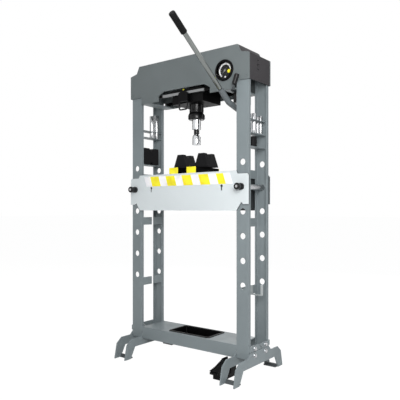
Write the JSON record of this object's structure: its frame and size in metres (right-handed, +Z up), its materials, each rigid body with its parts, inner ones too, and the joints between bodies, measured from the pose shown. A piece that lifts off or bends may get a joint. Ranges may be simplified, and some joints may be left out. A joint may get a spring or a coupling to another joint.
{
  "type": "workshop press",
  "caption": "Floor-standing workshop press: channel-post frame, pinned adjustable table with V-blocks, sliding cylinder and ram, hand pump lever, pedal, gauge and tool racks.",
  "frame": {"origin": "on the floor, under the middle of the frame", "axes": "+Z up, +X to the right as seen from the front, front towards -Y"},
  "size_m": [0.942, 0.9213, 1.9369],
  "materials": {
    "frame_gray": "satin enamel",
    "hook_gray": "satin enamel",
    "table_white": "satin enamel",
    "yellow": "smooth film",
    "white": "smooth film",
    "black_gloss": "gloss enamel",
    "black_plastic": "fine grain",
    "needle_white": "matt",
    "rubber": "matt",
    "dark_gray": "satin enamel",
    "chrome": "polished",
    "steel": "turned",
    "black_iron": "blackened",
    "clear": "polished"
  },
  "bodies": {
    "frame": {"back_left_post": "frame_gray", "back_right_post": "frame_gray", "bar_caps": "yellow", "base_bolts": "steel", "base_ends": "frame_gray", "base_shelf": "frame_gray", "carriage_rails": "steel", "foot_soles": "frame_gray", "front_left_post": "frame_gray", "front_right_post": "frame_gray", "gauge_case": "black_gloss", "gauge_dial": "black_plastic", "gauge_glass": "clear", "hang_hook": "hook_gray", "head_back_plate": "frame_gray", "head_cover": "frame_gray", "head_floor_plates": "frame_gray", "head_front_plate": "frame_gray", "head_screws": "frame_gray", "left_foot_plates": "frame_gray", "lever_pivot_pin": "steel", "mandrels": "steel", "pedal_base": "black_gloss", "pedal_pivot_pin": "steel", "pump_body": "black_gloss", "right_foot_plates": "frame_gray", "stored_tools": "black_iron", "table_back_plate": "table_white", "table_bars": "black_gloss", "table_ends": "table_white", "table_front_plate": "table_white", "tape_band": "white", "tape_stripes": "yellow", "tool_racks": "frame_gray", "tool_tray": "black_gloss", "v_blocks": "black_iron", "valve_block": "black_gloss"},
    "carriage": {"carriage_block": "black_gloss", "handle_block": "black_gloss", "carriage_handle": "black_gloss", "cylinder_barrel": "black_gloss", "gland_collar": "black_gloss"},
    "ram": {"piston": "chrome", "ram_rod": "chrome", "ram_neck": "black_gloss", "ram_nose": "chrome", "nose_set_screw": "steel"},
    "pump_lever": {"lever_socket": "dark_gray", "lever_rod": "chrome", "lever_grip": "rubber"},
    "plunger": {"pump_plunger": "chrome"},
    "valve_lever": {"valve_stem": "steel", "valve_grip": "black_plastic"},
    "needle": {"gauge_needle": "needle_white"},
    "pedal": {"foot_pedal": "black_gloss", "pedal_tread": "rubber"},
    "left_pin": {"left_table_pin": "steel", "left_pin_knob": "black_plastic"},
    "right_pin": {"right_table_pin": "steel", "right_pin_knob": "black_plastic"}
  },
  "joints": [
    {"name": "carriage_slide", "type": "slide", "parent": "frame", "child": "carriage", "axis": [1, 0, 0], "range_m": [-0.165, 0.165]},
    {"name": "ram_slide", "type": "slide", "parent": "carriage", "child": "ram", "axis": [0, 0, -1], "range_m": [0, 0.14], "stiffness_N_per_m": 1500, "springref_m": -0.06},
    {"name": "lever_hinge", "type": "hinge", "parent": "frame", "child": "pump_lever", "pos_m": [0.34, 0.03, 1.522], "axis": [1, 0, 0], "range_deg": [0, 50]},
    {"name": "plunger_slide", "type": "slide", "parent": "frame", "child": "plunger", "axis": [0, 0, -1], "range_m": [0, 0.049]},
    {"name": "valve_hinge", "type": "hinge", "parent": "frame", "child": "valve_lever", "pos_m": [0.364, -0.142, 1.63], "axis": [0, 1, 0], "range_deg": [0, 60]},
    {"name": "needle_hinge", "type": "hinge", "parent": "frame", "child": "needle", "pos_m": [0.297, -0.118, 1.76], "axis": [0, 1, 0], "range_deg": [0, 225], "stiffness_Nm_per_rad": 0.002, "springref_deg": -28.65},
    {"name": "pedal_hinge", "type": "hinge", "parent": "frame", "child": "pedal", "pos_m": [0.308, -0.092, 0.08], "axis": [1, 0, 0], "range_deg": [0, 12], "stiffness_Nm_per_rad": 15, "springref_deg": -11.46},
    {"name": "left_pin_slide", "type": "slide", "parent": "frame", "child": "left_pin", "axis": [0, -1, 0], "range_m": [0, 0.3]},
    {"name": "right_pin_slide", "type": "slide", "parent": "frame", "child": "right_pin", "axis": [0, -1, 0], "range_m": [0, 0.3]}
  ],
  "couplings": [
    {"joint": "plunger_slide", "follows": "lever_hinge", "m_per_rad": 0.055}
  ]
}
